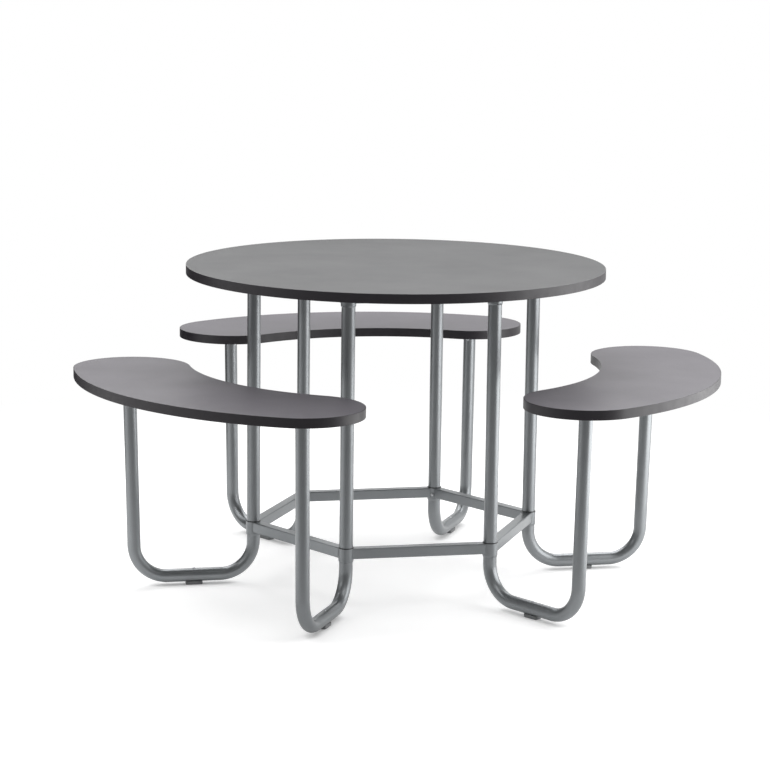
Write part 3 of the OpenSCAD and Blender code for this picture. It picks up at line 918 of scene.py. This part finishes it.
def make_flag(settings):
    """Black panel behind the object on the left that mirrors alone see. It gives the tubes and the edge bands a dark
    outline on that side."""
    aside, near, far, low, high = -1.65, 0.3, 3.0, 0.03, 1.4
    corners = [in_view(settings, aside, *corner) for corner in oblong(near, far, low, high)]
    mesh = bpy.data.meshes.new("studio_flag")
    mesh.from_pydata([tuple(corner) for corner in corners], [], [(0, 1, 2, 3)])
    material = bpy.data.materials.new("studio_flag")
    tree = emptied(material)
    matt = output_of(tree, "BsdfDiffuse", {"Color": (0.03, 0.03, 0.03, 1.0)})
    add(tree, "OutputMaterial", {"Surface": matt})
    mesh.materials.append(material)
    flag = bpy.data.objects.new("studio_flag", mesh)
    flag.visible_camera = flag.visible_diffuse = flag.visible_shadow = False
    bpy.context.scene.collection.objects.link(flag)


def make_floor(finishes, settings):
    """Flat square grid round the table's axis at height 0."""
    reach, count = 14.0, 29
    edge = np.linspace(-reach, reach, count)
    grid = grid_of(edge[None, :], edge[:, None], 0.0).reshape(-1, 3)
    number = np.arange(count * count).reshape(count, count)
    quads = np.stack([number[:-1, :-1], number[:-1, 1:], number[1:, 1:], number[1:, :-1]], axis=-1)
    mesh = bpy.data.meshes.new("studio_floor")
    mesh.from_pydata(grid.tolist(), [], quads.reshape(-1, 4).tolist())
    mesh.materials.append(floor_material(finishes.floor, settings))
    floor = bpy.data.objects.new("studio_floor", mesh)
    bpy.context.scene.collection.objects.link(floor)


def room_glow(settings):
    """Brightness of the room by direction, as mirrors see it: white behind the object, lighter on the right than on
    the left, and dim behind the camera. It is fixed in space."""
    def wire(tree, given):
        unit = output_of(tree, "VectorMath", {0: given["Direction"]}, operation="NORMALIZE")
        turned = output_of(tree, "Mapping", {"Vector": unit, "Rotation": (0.0, 0.0, settings.heading)})
        part = add(tree, "SeparateXYZ", {0: turned}).outputs
        total = settings.room_dim
        for value, start, stop, most in (
                (part["Y"], 0.0, 0.8, 1.0 - settings.room_dim), (part["X"], 0.3, 0.95, settings.room_right),
                (part["X"], -0.4, -0.95, settings.room_left)):
            total = reckon(tree, "ADD", remap(tree, value, start, stop, 0.0, most, "SMOOTHSTEP"), total)
        return output_of(tree, "Clamp", {"Value": total})

    return group_of("Room glow", "Glow", wire, Direction=None)


def make_world(settings):
    """White for the camera. Mirrors and glass see the room, and matt surfaces the same room dimmed."""
    world = bpy.context.scene.world = bpy.data.worlds.new("studio")
    tree = emptied(world)
    direction = output_of(tree, "TexCoord", output="Generated")
    room = output_of(tree, "Group", {"Direction": direction}, node_tree=room_glow(settings))
    path, mirrored = light_path(tree)
    strength = blended(tree, mirrored, reckon(tree, "MULTIPLY", room, settings.surroundings), room)
    strength = blended(tree, path["Is Camera Ray"], strength, 1.0)
    glow = output_of(tree, "Background", {"Color": (1.0, 1.0, 1.0, 1.0), "Strength": strength})
    add(tree, "OutputWorld", {"Surface": glow})
    world.cycles.sampling_method = "NONE"


# Operators


class Builder:
    """What every operator here shares."""

    bl_options = {"REGISTER"}

    def settings(self, context, *names):
        """The groups of settings with these names."""
        return [getattr(context.scene, f"poseur_{name}") for name in names]


class POSEUR_OT_table_top(Builder, bpy.types.Operator):
    """Build the table top's laminate, backing and edge band"""

    bl_idname = "poseur.table_top"
    bl_label = "Table Top"

    def execute(self, context):
        panels, finishes = self.settings(context, "panels", "finishes")
        laminate("table_laminate", finishes.table_laminate, finishes.table_roughness)
        moulded("edge_band", finishes.edge_band, 0.44)
        moulded("backing", finishes.backing, 0.60)
        parts = panel_parts(table_outline(panels), panels.table_top, panels.table_under, panels)
        dress_board("table", parts, "table_laminate")
        return {"FINISHED"}


class POSEUR_OT_benches(Builder, bpy.types.Operator):
    """Build the three benches' laminates, backings and edge bands"""

    bl_idname = "poseur.benches"
    bl_label = "Benches"

    def execute(self, context):
        panels, finishes = self.settings(context, "panels", "finishes")
        laminate("bench_laminate", finishes.bench_laminate, finishes.bench_roughness)
        parts = panel_parts(bench_outline(panels), panels.seat_top, panels.seat_under, panels)
        for k, turn in enumerate(BENCH_TURNS, start=1):
            dress_board(f"bench_{k}", [placed(part, turn) for part in parts], "bench_laminate")
        return {"FINISHED"}


class POSEUR_OT_legs(Builder, bpy.types.Operator):
    """Build the six table legs and the six U legs"""

    bl_idname = "poseur.legs"
    bl_label = "Legs"

    def execute(self, context):
        panels, legs, joints, fixings, finishes = self.settings(
            context, "panels", "legs", "frame", "fixings", "finishes")
        silver_paint("tube_paint", finishes.tube_paint, finishes)
        bent = u_leg(legs, panels.seat_under - joints.plate, fixings)
        dress_each("table_tube", table_leg(legs), LEG_TURNS, "tube_paint", "table_leg")
        dress_each("u_tube", bent, LEG_TURNS, "tube_paint", "u_leg")
        return {"FINISHED"}


class POSEUR_OT_sleeves(Builder, bpy.types.Operator):
    """Build the sleeves of the lower ring and those under the table"""

    bl_idname = "poseur.sleeves"
    bl_label = "Sleeves"

    def execute(self, context):
        panels, legs, joints, finishes = self.settings(context, "panels", "legs", "frame", "finishes")
        silver_paint("frame_paint", finishes.frame_paint, finishes)
        for name, node, top in (("ring", "ring_sleeve", joints.ring_top), ("upper", "top_sleeve", panels.table_under)):
            one = placed(sleeve(joints, legs), at=(legs.distance, 0.0, top))
            dress_each(f"{name}_collar", one, LEG_TURNS, "frame_paint", node)
        return {"FINISHED"}


class POSEUR_OT_rails(Builder, bpy.types.Operator):
    """Build the lower ring's rails and the weld beads of both rings"""

    bl_idname = "poseur.rails"
    bl_label = "Rails and Welds"

    def execute(self, context):
        panels, legs, joints = self.settings(context, "panels", "legs", "frame")
        dress_each("ring_bar", rail_bar(joints, legs, joints.ring_top), RAIL_TURNS, "frame_paint", "ring_rail")
        for name, top in (("ring", joints.ring_top), ("upper", panels.table_under - WELD_CLEARANCE)):
            welds = around(rail_welds(joints, legs, top), RAIL_TURNS)
            dressed(f"{name}_welds", welds, "frame_paint", crease=80.0)
        return {"FINISHED"}


class POSEUR_OT_sockets(Builder, bpy.types.Operator):
    """Build the plates and leaning spigots under the benches"""

    bl_idname = "poseur.sockets"
    bl_label = "Bench Sockets"

    def execute(self, context):
        panels, legs, joints = self.settings(context, "panels", "legs", "frame")
        one = placed(bench_socket(joints, legs), at=(joints.socket_distance, 0.0, panels.seat_under - joints.plate))
        dress_each("seat_socket", one, LEG_TURNS, "frame_paint", "bench_socket")
        return {"FINISHED"}


class POSEUR_OT_plastics(Builder, bpy.types.Operator):
    """Build the joint rings and the glides"""

    bl_idname = "poseur.plastics"
    bl_label = "Joint Rings and Glides"

    def execute(self, context):
        legs, joints, fixings, finishes = self.settings(context, "legs", "frame", "fixings", "finishes")
        moulded("joint_ring_plastic", finishes.joint_rings, 0.42)
        moulded("glide_plastic", finishes.glides, 0.50)
        ring = placed(joint_ring(joints, legs), at=(legs.distance, 0.0, 0.0))
        rings = around(ring, LEG_TURNS)
        dressed("joint_collars", rings, "black_plastic", "joint_rings", made_of="joint_ring_plastic")
        foot = glide(fixings, legs.run_under + legs.tube_radius, legs.tube_radius)
        foot = placed(foot, at=(legs.distance + legs.u_span / 2, 0.0, 0.0))
        dressed("floor_glides", around(foot, LEG_TURNS), "glide_plastic", "glides")
        return {"FINISHED"}


class POSEUR_OT_screws(Builder, bpy.types.Operator):
    """Build the sleeve screws, glide screws and panel screws"""

    bl_idname = "poseur.screws"
    bl_label = "Screws"

    def execute(self, context):
        panels, legs, joints, fixings, finishes = self.settings(
            context, "panels", "legs", "frame", "fixings", "finishes")
        zinc_steel("screw_steel", finishes.screws)
        drop, gap = joints.sleeve_height / 2, fixings.seat_gap
        plate_under = panels.seat_under - joints.plate
        side = placed(screw(fixings, fixings.sleeve_screw), lean=90.0)
        at_sleeve = legs.distance - joints.sleeve_radius - gap
        in_upright = placed(placed(side, at=(-legs.tube_radius - gap, 0.0, -drop)), lean=math.degrees(legs.lean))
        one_leg = joined([
            placed(side, at=(at_sleeve, 0.0, joints.ring_top - drop)),
            placed(side, at=(at_sleeve, 0.0, panels.table_under - drop)),
            placed(in_upright, at=(joints.socket_distance, 0.0, plate_under)),
        ])
        dressed("collar_screws", around(one_leg, LEG_TURNS), "screw_steel", "sleeve_screws")
        seat = 2 * legs.tube_radius - fixings.head_seat + gap
        down = placed(screw(fixings, seat + fixings.glide_bite), lean=180.0,
                      at=(legs.distance + legs.u_span / 2, 0.0, legs.run_under + seat))
        dressed("foot_screws", around(down, LEG_TURNS), "screw_steel", "glide_screws")
        up = screw(fixings, fixings.panel_screw)
        in_rails = joined([
            placed(up, at=(rail_middle(legs), y, panels.table_under - joints.rail_wall))
            for y in (-fixings.rail_screw, fixings.rail_screw)])
        in_plate = around(placed(up, at=(fixings.plate_circle, 0.0, 0.0)), PLATE_SCREW_TURNS)
        in_plate = placed(in_plate, at=(joints.socket_distance, 0.0, plate_under))
        both = joined([around(in_rails, RAIL_TURNS), around(in_plate, LEG_TURNS)])
        dressed("board_screws", both, "screw_steel", "panel_screws")
        return {"FINISHED"}


class POSEUR_OT_kept_nodes(Builder, bpy.types.Operator):
    """Give the cores and the upper rails of the packed model their finishes"""

    bl_idname = "poseur.kept_nodes"
    bl_label = "Cores and Upper Rails"

    def execute(self, context):
        chipboard("chipboard", context.scene.poseur_finishes.chipboard)
        wanted = {"top_rails": "frame_paint", "table_core": "chipboard"}
        wanted.update({f"bench_{k}_core": "chipboard" for k in (1, 2, 3)})
        for node, name in wanted.items():
            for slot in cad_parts[node].material_slots:
                slot.link = "OBJECT"
                slot.material = bpy.data.materials[f"{name}_finish"]
        return {"FINISHED"}


class POSEUR_OT_stage(Builder, bpy.types.Operator):
    """Set up the floor, the lamps, the surroundings and the camera"""

    bl_idname = "poseur.stage"
    bl_label = "Stage"

    def execute(self, context):
        settings, finishes = self.settings(context, "studio", "finishes")
        make_floor(finishes, settings)
        for name, lamp in LAMPS.items():
            make_lamp(settings, name, *lamp)
        make_flag(settings)
        make_world(settings)
        make_camera(settings)
        context.scene.view_settings.view_transform = "Standard"
        return {"FINISHED"}


STEPS = [
    POSEUR_OT_table_top, POSEUR_OT_benches, POSEUR_OT_legs, POSEUR_OT_sleeves, POSEUR_OT_rails, POSEUR_OT_sockets,
    POSEUR_OT_plastics, POSEUR_OT_screws, POSEUR_OT_kept_nodes, POSEUR_OT_stage,
]
SETTINGS = {
    "poseur_panels": PanelSizes, "poseur_legs": LegSizes, "poseur_frame": FrameSizes,
    "poseur_fixings": FixingSizes, "poseur_finishes": Finishes, "poseur_studio": StudioSettings,
}


class POSEUR_PT_sidebar(bpy.types.Panel):
    """Lists the settings and the steps that build the pieces"""

    bl_label = "Poseur Table"
    bl_idname = "POSEUR_PT_sidebar"
    bl_space_type = "VIEW_3D"
    bl_region_type = "UI"
    bl_category = "Poseur Table"

    def draw(self, context):
        for name, group in SETTINGS.items():
            box = self.layout.box()
            box.label(text=group.__doc__.rstrip("."))
            for key in group.__annotations__:
                box.prop(getattr(context.scene, name), key)
        for step in STEPS:
            self.layout.operator(step.bl_idname)


def register():
    """Registers the settings, the steps and the sidebar."""
    for cls in (*SETTINGS.values(), *STEPS, POSEUR_PT_sidebar):
        bpy.utils.register_class(cls)
    for name, group in SETTINGS.items():
        setattr(bpy.types.Scene, name, PointerProperty(type=group))


def unregister():
    """Takes away what register added."""
    for name in SETTINGS:
        delattr(bpy.types.Scene, name)
    for cls in (POSEUR_PT_sidebar, *reversed(STEPS), *reversed(SETTINGS.values())):
        bpy.utils.unregister_class(cls)


def main():
    register()
    for step in STEPS:
        package, name = step.bl_idname.split(".")
        getattr(getattr(bpy.ops, package), name)()


if __name__ == "__main__":
    main()
